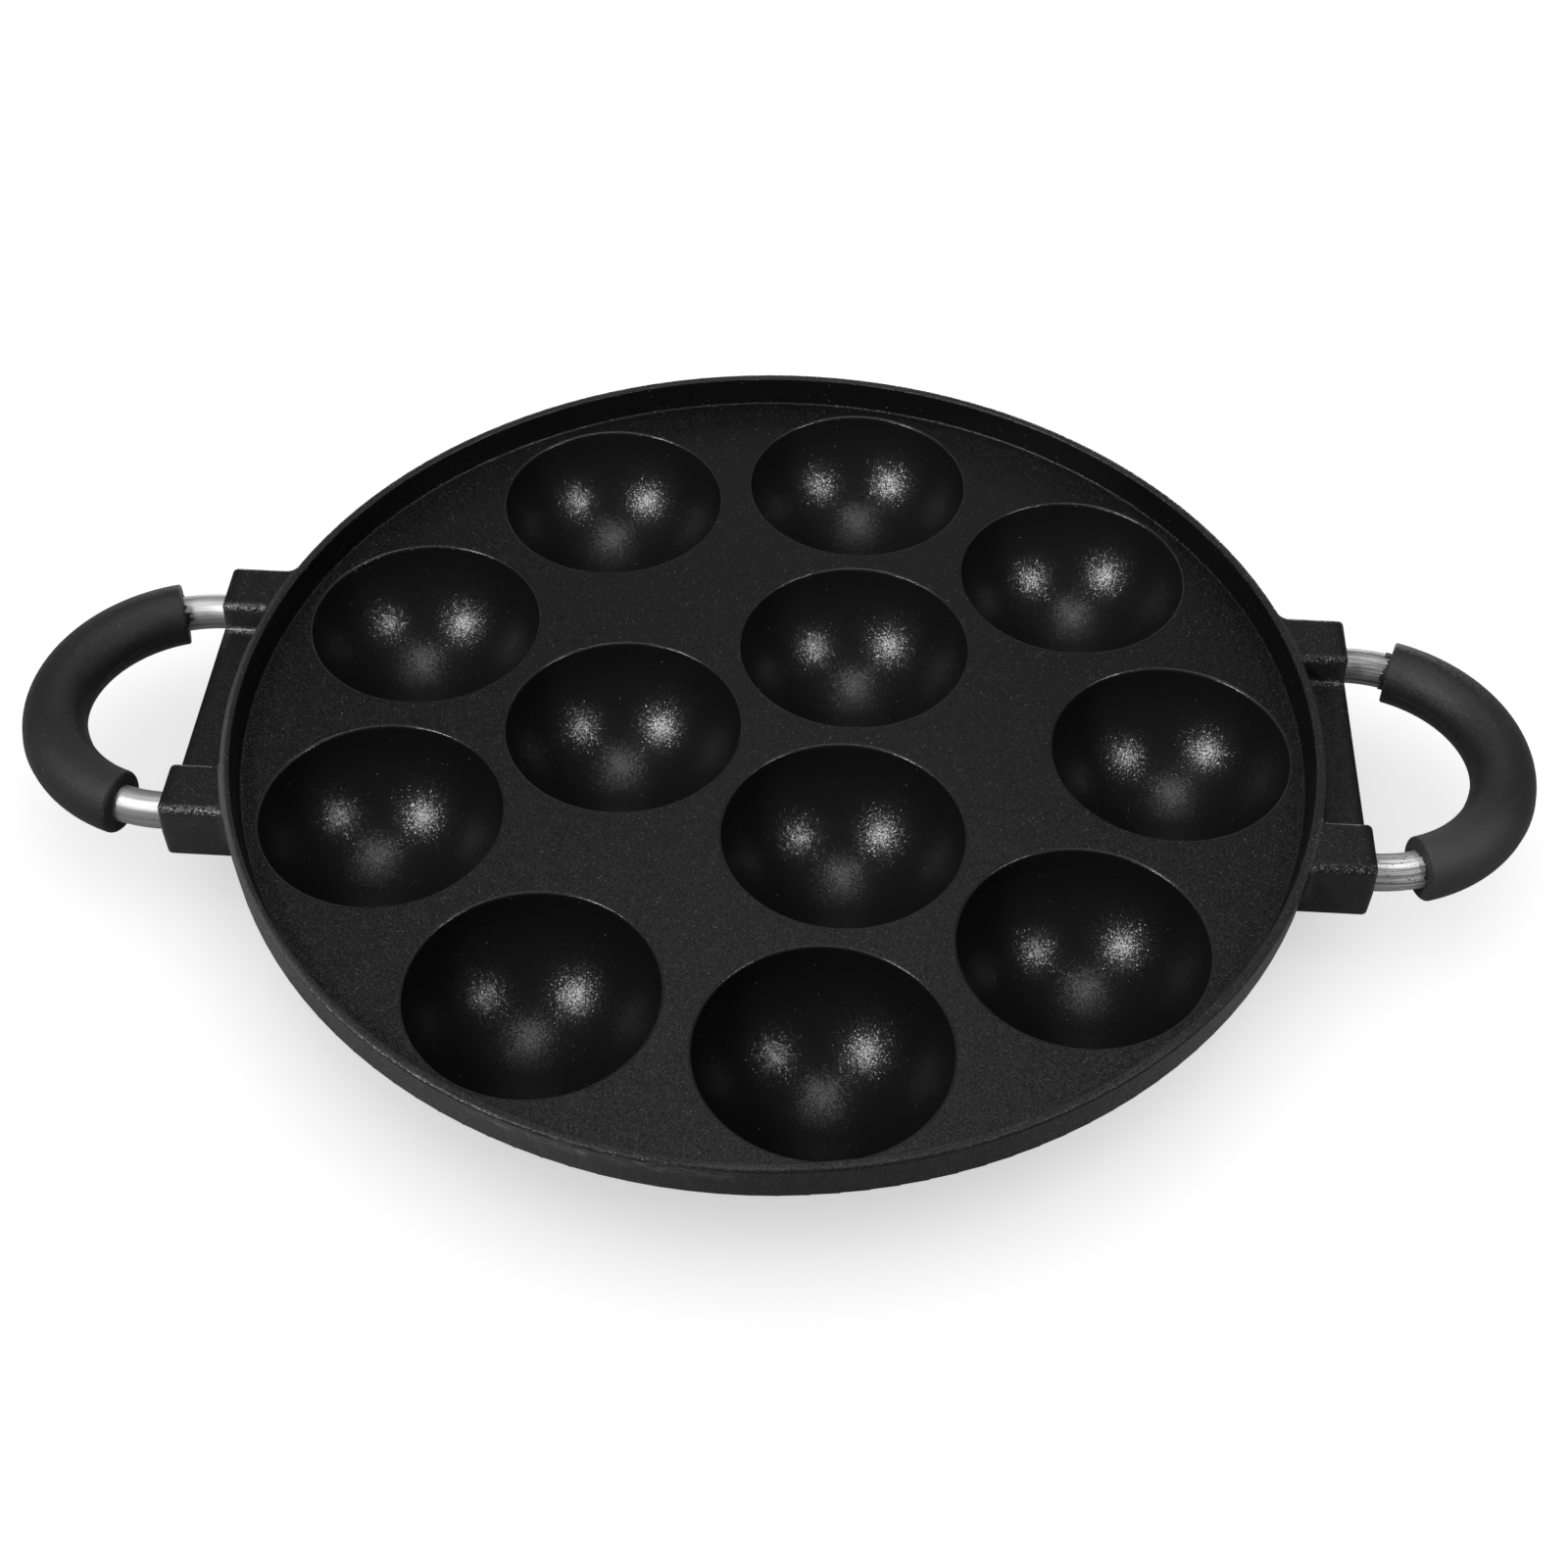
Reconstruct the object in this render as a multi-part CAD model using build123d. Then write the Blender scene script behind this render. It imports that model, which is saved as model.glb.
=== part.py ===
from build123d import *

import os
from math import cos, radians, sin, sqrt, tan

# Takoyaki pan: a die-cast pan with round cups, carried by two side handles. Each handle is a
# bent steel tube, held in two cast lugs by spring pins and covered by a rubber sleeve.
#
# Millimetres and degrees. The origin is the middle of the surface that the pan stands on,
# +Z is up, and the handles stick out along +X and -X.

# --- Driving dimensions: cups ------------------------------------------------------------
CUP_RADIUS = 26.0       # hollow of a cup, at the plate's top
CUP_DEPTH = 21.5        # from the plate's top to the bottom of the hollow
CUP_WALL = 2.4          # metal round the hollow
CUP_LIP_ROUND = 0.7     # edge of the hollow
CUP_FLARE = 1.5         # inside corner where a cup leaves the plate's underside
FOOT_RADIUS = 9.0       # flat pad under each cup
FOOT_EDGE_ROUND = 0.3
FOOT_STANDOFF = 0.4     # how far the pad stands below the round underside
INNER_CUPS = 3          # cups round the middle
OUTER_PER_INNER = 3     # outer cups for each inner one
CENTRE_LAND = 5.75      # flat metal between two inner cups
RING_LAND = 5.3         # flat metal between an inner cup and its two outer neighbours

# --- Driving dimensions: plate and rim ---------------------------------------------------
PLATE_THICKNESS = 2.5
RIM_LAND = 3.13         # flat metal between an outer cup and the foot of the rim
RIM_HEIGHT = 6.7        # rim above the plate
RIM_TOP_WIDTH = 2.2
RIM_INSIDE_DRAFT = 10.0
RIM_OUTSIDE_DRAFT = 3.0
RIM_FOOT_ROUND = 0.6    # inside corner between plate and rim
RIM_TOP_ROUND = 0.5     # inner edge of the rim's top
PAN_EDGE_ROUND = 0.8    # outer edges of the rim and the lugs' tops

# --- Driving dimensions: handle tube -----------------------------------------------------
TUBE_DIAMETER = 8.0
TUBE_WALL = 1.0
HANDLE_SPAN = 62.6      # between the two ends of one handle, centre to centre
TUBE_STRAIGHT = 0.65    # straight tube between a lug and the bend
TUBE_DROP = 1.1         # tube's centre line below the plate's top
TUBE_END_GAP = 0.2      # between the tube's end and the bottom of its socket

# --- Driving dimensions: lugs and the web between them -----------------------------------
LUG_REACH = 8.0         # lug's end beyond the pan's edge
LUG_CHEEK = 2.95        # metal beside the socket
LUG_SKIN = 2.4          # metal under the socket
LUG_ROOT = 10.0         # how far a lug runs in under the plate from the pan's edge
LUG_DRAFT = 2.0
LUG_CORNER_ROUND = 1.5
LUG_EDGE_ROUND = 0.8    # lug's bottom edges
LUG_FLARE = 2.5         # inside corner between a lug's outer side and the rim
LUG_INSIDE_FLARE = 1.0  # inside corner between a lug's inner side and the rim
SOCKET_DEPTH = 10.5
SOCKET_CLEARANCE = 0.05
SOCKET_MOUTH = 0.4      # chamfer at the socket's mouth
WEB_THICKNESS = 2.5
WEB_EDGE_ROUND = 0.5

# --- Driving dimensions: grip and spring pin ---------------------------------------------
GRIP_DIAMETER = 14.2
GRIP_ARC = 144.0        # angle of the bend that the grip covers
GRIP_CLEARANCE = 0.1
GRIP_END_ROUND = 2.0
PIN_DIAMETER = 3.0
PIN_WALL = 0.5
PIN_SLOT = 0.6
PIN_CHAMFER = 0.3
PIN_CLEARANCE = 0.05
PIN_RECESS = 0.75       # pin's end above the lug's underside
PIN_OVERRUN = 0.3       # pin's other end above the tube
PIN_BLIND_END = 1.0     # empty hole above the pin

SAME = 0.01             # two sizes or places this close are the same one

# --- Levels ------------------------------------------------------------------------------
PLATE_TOP = CUP_DEPTH + CUP_WALL + FOOT_STANDOFF
PLATE_BOTTOM = PLATE_TOP - PLATE_THICKNESS
RIM_TOP = PLATE_TOP + RIM_HEIGHT
TUBE_LEVEL = PLATE_TOP - TUBE_DROP

# --- Cup pattern -------------------------------------------------------------------------
# A cup is part of a sphere that passes through its lip and its bottom. Each inner cup nests
# between two outer ones, and the rim is drawn round the outer ring.
HOLLOW_SPHERE = (CUP_RADIUS**2 + CUP_DEPTH**2) / (2 * CUP_DEPTH)
SHELL_SPHERE = HOLLOW_SPHERE + CUP_WALL
SPHERE_LEVEL = PLATE_TOP - CUP_DEPTH + HOLLOW_SPHERE
OUTER_CUPS = INNER_CUPS * OUTER_PER_INNER
HALF_PITCH = 180.0 / OUTER_CUPS
INNER_RING = (2 * CUP_RADIUS + CENTRE_LAND) / (2 * sin(radians(180.0 / INNER_CUPS)))
NEST_DISTANCE = 2 * CUP_RADIUS + RING_LAND
NEST_OFFSET = INNER_RING * sin(radians(HALF_PITCH))
NEST_RING = INNER_RING * cos(radians(HALF_PITCH)) + sqrt(NEST_DISTANCE**2 - NEST_OFFSET**2)
CHORD_RING = NEST_DISTANCE / (2 * sin(radians(HALF_PITCH)))
OUTER_RING = max(NEST_RING, CHORD_RING)

# --- Rim ---------------------------------------------------------------------------------
RIM_FOOT_RADIUS = OUTER_RING + CUP_RADIUS + RIM_LAND
RIM_INSIDE_RADIUS = RIM_FOOT_RADIUS + RIM_HEIGHT * tan(radians(RIM_INSIDE_DRAFT))
PAN_RADIUS = RIM_INSIDE_RADIUS + RIM_TOP_WIDTH
PAN_HEIGHT = RIM_TOP - PLATE_BOTTOM
PAN_FOOT_RADIUS = PAN_RADIUS - PAN_HEIGHT * tan(radians(RIM_OUTSIDE_DRAFT))

# --- Lugs, sockets and handles -----------------------------------------------------------
TUBE_RADIUS = TUBE_DIAMETER / 2
SOCKET_RADIUS = TUBE_RADIUS + SOCKET_CLEARANCE
LUG_WIDTH = 2 * (SOCKET_RADIUS + LUG_CHEEK)
LUG_Y = HANDLE_SPAN / 2
LUG_END = PAN_RADIUS + LUG_REACH
LUG_START = PAN_RADIUS - LUG_ROOT
LUG_BOTTOM = TUBE_LEVEL - SOCKET_RADIUS - LUG_SKIN
SOCKET_END = LUG_END - SOCKET_DEPTH
BEND_RADIUS = HANDLE_SPAN / 2
BEND_X = LUG_END + TUBE_STRAIGHT
PIN_X = LUG_END - SOCKET_DEPTH / 2
PIN_START = LUG_BOTTOM + PIN_RECESS
PIN_END = TUBE_LEVEL + TUBE_RADIUS + PIN_OVERRUN
PIN_HOLE_RADIUS = PIN_DIAMETER / 2 + PIN_CLEARANCE
GRIP_BORE_RADIUS = TUBE_RADIUS + GRIP_CLEARANCE


def turned(outline):
    """A solid of revolution about Z, from an outline whose points are (r, z)."""
    return revolve(Plane.XZ * outline, axis=Axis.Z)


def rounded(outline, point, radius):
    """The outline with the corner nearest to a point rounded."""
    corner = outline.vertices().sort_by_distance((*point, 0))[0]
    return fillet(corner, radius)


def arc_about(centre, start, end):
    """The arc from start to end, shorter than half a turn, round a centre."""
    centre, start, end = Vector(*centre), Vector(*start), Vector(*end)
    middle = (start + end) / 2 - centre
    top = centre + middle.normalized() * (start - centre).length
    return ThreePointArc(start, top, end)


def pan_blank():
    """The pan's outside, still full to the top of the rim."""
    foot = (PAN_FOOT_RADIUS, PLATE_BOTTOM)
    corners = [(0, PLATE_BOTTOM), foot, (PAN_RADIUS, RIM_TOP), (0, RIM_TOP)]
    outline = make_face(Polyline(*corners, close=True))
    return turned(rounded(outline, foot, PAN_EDGE_ROUND))


def pan_inside():
    """The space above the plate and inside the rim, carried on above the rim's top."""
    foot = (RIM_FOOT_RADIUS, PLATE_TOP)
    top = PLATE_TOP + 2 * RIM_HEIGHT
    top_radius = RIM_FOOT_RADIUS + 2 * RIM_HEIGHT * tan(radians(RIM_INSIDE_DRAFT))
    corners = [(0, PLATE_TOP), foot, (top_radius, top), (0, top)]
    outline = make_face(Polyline(*corners, close=True))
    return turned(rounded(outline, foot, RIM_FOOT_ROUND))


def cup_places():
    """Centres of the cups: the inner ring, then the outer ring."""
    inner = PolarLocations(INNER_RING, INNER_CUPS, start_angle=3 * HALF_PITCH)
    outer = PolarLocations(OUTER_RING, OUTER_CUPS)
    return list(inner) + list(outer)


def cup_shell():
    """Outside of one cup: foot pad, round wall, and the flare into the plate's underside."""
    foot_top = SPHERE_LEVEL - sqrt(SHELL_SPHERE**2 - FOOT_RADIUS**2)
    flare_level = PLATE_BOTTOM - CUP_FLARE
    flare_radius = sqrt((SHELL_SPHERE + CUP_FLARE) ** 2 - (flare_level - SPHERE_LEVEL) ** 2)
    share = SHELL_SPHERE / (SHELL_SPHERE + CUP_FLARE)
    wall_end = (share * flare_radius, SPHERE_LEVEL + share * (flare_level - SPHERE_LEVEL))
    inside_plate = (PLATE_BOTTOM + PLATE_TOP) / 2
    outline = (
        Polyline((0, inside_plate), (0, 0), (FOOT_RADIUS, 0), (FOOT_RADIUS, foot_top))
        + arc_about((0, SPHERE_LEVEL), (FOOT_RADIUS, foot_top), wall_end)
        + arc_about((flare_radius, flare_level), wall_end, (flare_radius, PLATE_BOTTOM))
        + Polyline((flare_radius, PLATE_BOTTOM), (flare_radius, inside_plate), (0, inside_plate))
    )
    return turned(rounded(make_face(outline), (FOOT_RADIUS, 0), FOOT_EDGE_ROUND))


def cup_hollow():
    """The round space inside one cup."""
    return Pos(0, 0, SPHERE_LEVEL) * Sphere(HOLLOW_SPHERE)


def drafted(plan, top, bottom):
    """A plan at the tube's level, grown to a top and a bottom level with the lugs' draft."""
    plan = Pos(0, 0, TUBE_LEVEL) * plan
    upper = extrude(plan, top - TUBE_LEVEL, taper=LUG_DRAFT)
    lower = extrude(plan, TUBE_LEVEL - bottom, taper=LUG_DRAFT)
    return upper + mirror(lower, about=Plane.XY.offset(TUBE_LEVEL))


def lug(y):
    """One lug of the right side."""
    plan = Pos((LUG_END + LUG_START) / 2, y) * Rectangle(LUG_END - LUG_START, LUG_WIDTH)
    plan = fillet(plan.vertices().sort_by(Axis.X)[-2:], LUG_CORNER_ROUND)
    return drafted(plan, RIM_TOP, LUG_BOTTOM)


def web():
    """The flat shelf between the lugs of the right side, level with the plate."""
    plan = Pos((LUG_END + LUG_START) / 2, 0) * Rectangle(LUG_END - LUG_START, HANDLE_SPAN)
    shelf = drafted(plan, PLATE_TOP, PLATE_TOP - WEB_THICKNESS)
    outer = [edge for edge in shelf.edges() | Axis.Y if edge.center().X > PAN_RADIUS]
    edges = [edge for edge in outer if abs(edge.center().Z - TUBE_LEVEL) > SAME]
    return fillet(edges, WEB_EDGE_ROUND)


def bored(y):
    """What is drilled into one lug of the right side: the tube's socket and the pin's hole."""
    axis = Plane((SOCKET_END, y, TUBE_LEVEL), z_dir=(1, 0, 0))
    up_from = (Align.CENTER, Align.CENTER, Align.MIN)
    down_from = (Align.CENTER, Align.CENTER, Align.MAX)
    socket = axis * Cylinder(SOCKET_RADIUS, SOCKET_DEPTH, align=up_from)
    mouth = axis * Pos(0, 0, SOCKET_DEPTH) * Cone(
        SOCKET_RADIUS, SOCKET_RADIUS + SOCKET_MOUTH, SOCKET_MOUTH, align=down_from
    )
    top = PIN_END + PIN_BLIND_END
    pin_hole = Pos(PIN_X, y, top) * Cylinder(PIN_HOLE_RADIUS, top - LUG_BOTTOM, align=down_from)
    return [socket, mouth, pin_hole]


def pan_with_lugs():
    """The full pan with the lugs and webs of both sides, and rounded corners where they meet."""
    right_side = web() + lug(LUG_Y) + lug(-LUG_Y)
    pan = pan_blank() + right_side + Rot(0, 0, 180) * right_side
    for y_side, radius in ((1, LUG_FLARE), (-1, LUG_INSIDE_FLARE)):
        side = LUG_Y + y_side * LUG_WIDTH / 2
        corners = [
            edge
            for edge in pan.edges()
            if abs(abs(edge.center().Y) - side) < RIM_TOP_WIDTH / 2
            and edge.bounding_box().size.Z > RIM_HEIGHT - SAME
            and edge.center().Z > PLATE_BOTTOM
            and abs(edge.center().X) < PAN_RADIUS
        ]
        pan = fillet(corners, radius)
    return pan


def flat_faces(solid, level):
    """The solid's level faces at one height."""
    return [face for face in solid.faces() | GeomType.PLANE if abs(face.center().Z - level) < SAME]


def pan_casting():
    """The whole casting: pan, cups, lugs and webs, with its drilled holes."""
    pan = pan_with_lugs()
    for place in cup_places():
        pan += place * cup_shell()
    pan -= pan_inside()
    for place in cup_places():
        pan -= place * cup_hollow()

    lips = [edge for edge in pan.edges() | GeomType.CIRCLE if abs(edge.radius - CUP_RADIUS) < SAME]
    pan = fillet(lips, CUP_LIP_ROUND)
    lug_bottoms = [edge for face in flat_faces(pan, LUG_BOTTOM) for edge in face.edges()]
    pan = fillet(lug_bottoms, LUG_EDGE_ROUND)
    pan = fillet(flat_faces(pan, RIM_TOP)[0].outer_wire().edges(), PAN_EDGE_ROUND)
    pan = fillet(flat_faces(pan, RIM_TOP)[0].inner_wires()[0].edges(), RIM_TOP_ROUND)

    for y in (LUG_Y, -LUG_Y):
        for tool in bored(y):
            pan -= tool
            pan -= mirror(tool, about=Plane.YZ)
    return pan


def handle_tube():
    """The right side's tube: a half circle with a short straight end in each lug."""
    start = SOCKET_END + TUBE_END_GAP
    path = Polyline((start, -BEND_RADIUS), (BEND_X, -BEND_RADIUS))
    path += CenterArc((BEND_X, 0), BEND_RADIUS, -90, 180)
    path += Polyline((BEND_X, BEND_RADIUS), (start, BEND_RADIUS))
    path = Pos(0, 0, TUBE_LEVEL) * path
    ring = Circle(TUBE_RADIUS) - Circle(TUBE_RADIUS - TUBE_WALL)
    tube = sweep(Plane((start, -BEND_RADIUS, TUBE_LEVEL), z_dir=(1, 0, 0)) * ring, path=path)
    for y in (LUG_Y, -LUG_Y):
        tube -= Pos(PIN_X, y, TUBE_LEVEL) * Cylinder(PIN_HOLE_RADIUS, TUBE_DIAMETER + 1)
    return tube


def grip():
    """The right side's rubber sleeve round the bend."""
    centre = (BEND_RADIUS, 0)
    section = Pos(*centre) * (Circle(GRIP_DIAMETER / 2) - Circle(GRIP_BORE_RADIUS))
    sleeve = revolve(Plane.XZ * section, axis=Axis.Z, revolution_arc=GRIP_ARC)
    circles = sleeve.edges() | GeomType.CIRCLE
    ends = [edge for edge in circles if abs(edge.radius - GRIP_DIAMETER / 2) < SAME]
    sleeve = fillet(ends, GRIP_END_ROUND)
    return Pos(BEND_X, 0, TUBE_LEVEL) * Rot(0, 0, -GRIP_ARC / 2) * sleeve


def roll_pin(y):
    """A slotted spring pin of the right side, driven up through a lug and the tube."""
    length = PIN_END - PIN_START
    pin = Cylinder(PIN_DIAMETER / 2, length)
    pin = chamfer(pin.edges() | GeomType.CIRCLE, PIN_CHAMFER)
    pin -= Cylinder(PIN_DIAMETER / 2 - PIN_WALL, length)
    pin -= Pos(PIN_DIAMETER / 2, 0, 0) * Box(PIN_DIAMETER, PIN_SLOT, length)
    return Pos(PIN_X, y, (PIN_START + PIN_END) / 2) * pin


right_pieces = {
    "handle_tube": handle_tube(),
    "grip": grip(),
    "front_roll_pin": roll_pin(-LUG_Y),
    "back_roll_pin": roll_pin(LUG_Y),
}
pieces = {"pan_casting": pan_casting()}
for name, piece in right_pieces.items():
    pieces["right_" + name] = piece
    pieces["left_" + name] = mirror(piece, about=Plane.YZ)

os.makedirs("parts", exist_ok=True)
for name, piece in pieces.items():
    export_step(piece, f"parts/{name}.step")
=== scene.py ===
# %% [markdown]
# # A takoyaki pan
#
# The real pan is one aluminium casting with twelve round cups, coated black so that batter lets
# go of it. Two bent steel tubes are its handles, each pinned into two cast lugs and covered by a
# rubber sleeve. Nothing on it moves.
#
# Its solids come packed from a CAD model as a fixed frame. They already have the right shape and
# place, so this lesson finishes their surfaces, and models by hand the two sleeves, whose moulded
# edges and torn flash a plain solid doesn't hold.

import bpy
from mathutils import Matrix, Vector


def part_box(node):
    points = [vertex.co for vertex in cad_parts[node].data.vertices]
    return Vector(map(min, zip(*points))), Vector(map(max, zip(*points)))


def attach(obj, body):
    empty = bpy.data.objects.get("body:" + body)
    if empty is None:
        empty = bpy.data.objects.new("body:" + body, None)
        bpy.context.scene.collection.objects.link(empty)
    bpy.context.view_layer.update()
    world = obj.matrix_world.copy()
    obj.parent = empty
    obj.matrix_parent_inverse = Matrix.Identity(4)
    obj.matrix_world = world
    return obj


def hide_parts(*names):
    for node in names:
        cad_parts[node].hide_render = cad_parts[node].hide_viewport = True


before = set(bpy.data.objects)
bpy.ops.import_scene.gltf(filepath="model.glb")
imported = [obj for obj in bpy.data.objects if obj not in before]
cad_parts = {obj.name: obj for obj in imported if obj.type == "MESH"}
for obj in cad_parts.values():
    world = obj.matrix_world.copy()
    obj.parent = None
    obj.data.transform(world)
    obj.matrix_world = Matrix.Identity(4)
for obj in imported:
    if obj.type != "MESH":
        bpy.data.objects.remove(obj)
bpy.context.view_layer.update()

# %% [markdown]
# ## Places on the pan
#
# Every length is in metres, as the frame is. Most places follow from the boxes of the nodes: the
# casting gives the rim, and the tube gives the handle's level and bend. Only what a box can't say
# is written as a value of its own.

# %% Modules and places
import random
from math import atan2, cos, pi, radians, sin

import bmesh
import bpy
from mathutils import Matrix, Vector

MM = 0.001

pan_low, pan_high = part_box("pan_casting")
tube_low, tube_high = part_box("right_handle_tube")
grip_low, grip_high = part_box("right_grip")

RIM_HEIGHT = 6.7 * MM
RIM_TOP = pan_high.z
PLATE_TOP = RIM_TOP - RIM_HEIGHT
PAN_RADIUS = pan_high.y

TUBE_RADIUS = (tube_high.z - tube_low.z) / 2
TUBE_LEVEL = (tube_high.z + tube_low.z) / 2
BEND_RADIUS = tube_high.y - TUBE_RADIUS
BEND_X = tube_high.x - TUBE_RADIUS - BEND_RADIUS
GRIP_RADIUS = (grip_high.z - grip_low.z) / 2
print("plate at", PLATE_TOP, "tube at", TUBE_LEVEL, "bend", BEND_X, BEND_RADIUS)

# %% [markdown]
# ## Camera
#
# The camera stands in front of the pan, a little to its right, and looks down on it by 47
# degrees. It could be aimed with a Track To constraint, but a constraint keeps the horizon level.
# The three axes of the view are worked out instead, which leaves room for a slight roll.

# %% Camera
CAMERA_LENS = 55.0
CAMERA_NEAR = 10 * MM
CAMERA_ELEVATION = radians(47.07)
CAMERA_TURN = radians(2.85)
CAMERA_ROLL = radians(0.80)
CAMERA_DISTANCE = 519.1 * MM
CAMERA_AIM = Vector((3.24 * MM, -15.50 * MM, PLATE_TOP))
turn_to_camera = Matrix.Rotation(CAMERA_TURN, 3, "Z")


def camera_axes():
    """The view's right, up and backward directions."""
    back = turn_to_camera @ Vector((0, -cos(CAMERA_ELEVATION), sin(CAMERA_ELEVATION)))
    level_right = turn_to_camera @ Vector((1, 0, 0))
    level_up = back.cross(level_right)
    right = cos(CAMERA_ROLL) * level_right + sin(CAMERA_ROLL) * level_up
    return right, back.cross(right), back


def add_camera():
    """The camera, on its backward axis from the point that it looks at."""
    right, up, back = camera_axes()
    bpy.ops.object.camera_add()
    camera = bpy.context.object
    camera.name = "studio_camera"
    camera.data.lens = CAMERA_LENS
    camera.data.clip_start = CAMERA_NEAR
    pose = Matrix((right, up, back)).transposed().to_4x4()
    pose.translation = CAMERA_AIM + back * CAMERA_DISTANCE
    camera.matrix_world = pose
    return camera


bpy.context.scene.camera = add_camera()
print("camera at", tuple(bpy.context.scene.camera.location))

# %% [markdown]
# ## Node trees in short calls
#
# Every finish below is a node tree. Written out in full, a tree takes three lines for each node,
# so this small class adds a node and joins its inputs in one call. An input that is a socket is
# linked, and an input that is a value is set.

# %% A short way to write node trees
class Graph:
    """One material and its nodes."""

    def __init__(self, name):
        self.material = bpy.data.materials.new(name)
        self.material.use_nodes = True
        self.nodes = self.material.node_tree.nodes
        self.links = self.material.node_tree.links
        self.shader = self.nodes["Principled BSDF"]

    def feed(self, socket, value):
        """Link or set one input."""
        if isinstance(value, bpy.types.NodeSocket):
            self.links.new(value, socket)
        else:
            socket.default_value = value

    def add(self, kind, inputs=None, **settings):
        """A node with its settings and its inputs, which are keyed by name or by number."""
        node = self.nodes.new(kind)
        for name, value in settings.items():
            setattr(node, name, value)
        for key, value in (inputs or {}).items():
            self.feed(node.inputs[key], value)
        return node

    def math(self, operation, *values):
        """One sum on numbers."""
        return self.add("ShaderNodeMath", dict(enumerate(values)), operation=operation).outputs[0]

    def product(self, *values):
        """Numbers multiplied together. A product of shares is 1 where all their zones overlap."""
        result, *others = values
        for value in others:
            result = self.math("MULTIPLY", result, value)
        return result

    def plus(self, value, share, amount):
        """A value with an amount added in proportion to a share."""
        return self.math("MULTIPLY_ADD", share, amount, value)

    def vector(self, operation, *values):
        """One sum on vectors."""
        node = self.add("ShaderNodeVectorMath", dict(enumerate(values)), operation=operation)
        return node.outputs["Value" if operation == "LENGTH" else "Vector"]

    def rise(self, value, low, high):
        """Smoothly from 0 at low to 1 at high, or down again where high is the lower one."""
        ends = {"Value": value, "From Min": low, "From Max": high}
        return self.add("ShaderNodeMapRange", ends, interpolation_type="SMOOTHSTEP").outputs[0]

    def band(self, value, centre, half_width):
        """1 at the centre of a band and 0 outside it."""
        return self.rise(self.math("ABSOLUTE", self.math("SUBTRACT", value, centre)), half_width, 0.0)

    def between(self, share, at_zero, at_one):
        """A number that goes from one value to another with a share from 0 to 1."""
        ends = {"Value": share, "To Min": at_zero, "To Max": at_one}
        return self.add("ShaderNodeMapRange", ends).outputs[0]

    def noise(self, spot, size, detail=2.0, roughness=0.5):
        """A noise from 0 to 1 whose blobs are about one size across."""
        inputs = {"Vector": spot, "Scale": 1 / size, "Detail": detail, "Roughness": roughness}
        return self.add("ShaderNodeTexNoise", inputs).outputs["Fac"]

    def stretched(self, spot, scale):
        """The surface point with its coordinates scaled, each by its own factor."""
        return self.vector("MULTIPLY", spot, scale)

    def joined(self, x, y, z=0.0):
        """Three numbers as a vector."""
        return self.add("ShaderNodeCombineXYZ", {"X": x, "Y": y, "Z": z}).outputs[0]

    def colour(self, red, green, blue):
        """Three numbers as a colour."""
        channels = {"Red": red, "Green": green, "Blue": blue}
        return self.add("ShaderNodeCombineColor", channels).outputs[0]

    def finish(self, **inputs):
        """Set the shader's own inputs: Base_Color is the input Base Color."""
        for name, value in inputs.items():
            self.feed(self.shader.inputs[name.replace("_", " ")], value)
        return self.material


def surface_point(graph):
    """The surface point of the object, and its X, Y and Z."""
    spot = graph.add("ShaderNodeTexCoord").outputs["Object"]
    axes = graph.add("ShaderNodeSeparateXYZ", {"Vector": spot}).outputs
    return spot, axes["X"], axes["Y"], axes["Z"]


print("helpers ready")

# %% [markdown]
# ## Where the cups are
#
# The coat is not the same all over the casting: the cups are smooth so that a ball turns in them,
# the plate between them is rougher, and their lips are lighter, partly from wear and partly as a
# painted highlight. A material that knows where a cup is can change its finish there. It could test
# the distance to twelve centres, but the cups repeat round the pan, so the point is folded into one
# slice of the pattern and only two distances are left: to the cup of the inner ring and to the cup
# of the outer ring.

# %% Distance to the nearest cup
CUP_RADIUS = 26.0 * MM
CUP_LIP_ROUND = 0.7 * MM
INNER_CUPS = 3
INNER_RING = 33.34 * MM
INNER_START = radians(60)
OUTER_CUPS = 9
OUTER_RING = 87.48 * MM
OUTER_START = 0.0


def ring_distance(graph, reach, angle, ring, count, start):
    """Distance to the nearest cup axis of one ring."""
    half_slice = pi / count
    folded = graph.math("WRAP", graph.math("SUBTRACT", angle, start), half_slice, -half_slice)
    along = graph.math("SUBTRACT", graph.product(reach, graph.math("COSINE", folded)), ring)
    across = graph.product(reach, graph.math("SINE", folded))
    return graph.vector("LENGTH", graph.joined(along, across))


def cup_distance(graph, x, y):
    """Distance to the nearest cup axis, distance to the pan's own axis, and turn round that axis."""
    reach = graph.vector("LENGTH", graph.joined(x, y))
    angle = graph.math("ARCTAN2", y, x)
    inner = ring_distance(graph, reach, angle, INNER_RING, INNER_CUPS, INNER_START)
    outer = ring_distance(graph, reach, angle, OUTER_RING, OUTER_CUPS, OUTER_START)
    return graph.math("MINIMUM", inner, outer), reach, angle


print("cups on rings of", INNER_RING, "and", OUTER_RING)

# %% [markdown]
# ## Grains of the coat
#
# The coat is sprayed on in grains that dry as fine bumps. Each grain faces its own way, so a lamp
# lights up some grains and misses their neighbours: that is the glitter inside the cups. A bump
# map of fine noise could do it, but it fades as the grains get smaller than a pixel. Here a
# Voronoi texture cuts the surface into cells, one for each grain, and every cell leans its normal
# by its own random vector. Most grains lean a little and a few lean far, so the random vector is
# scaled by its own length. A few grains also hold a bright flake.

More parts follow.
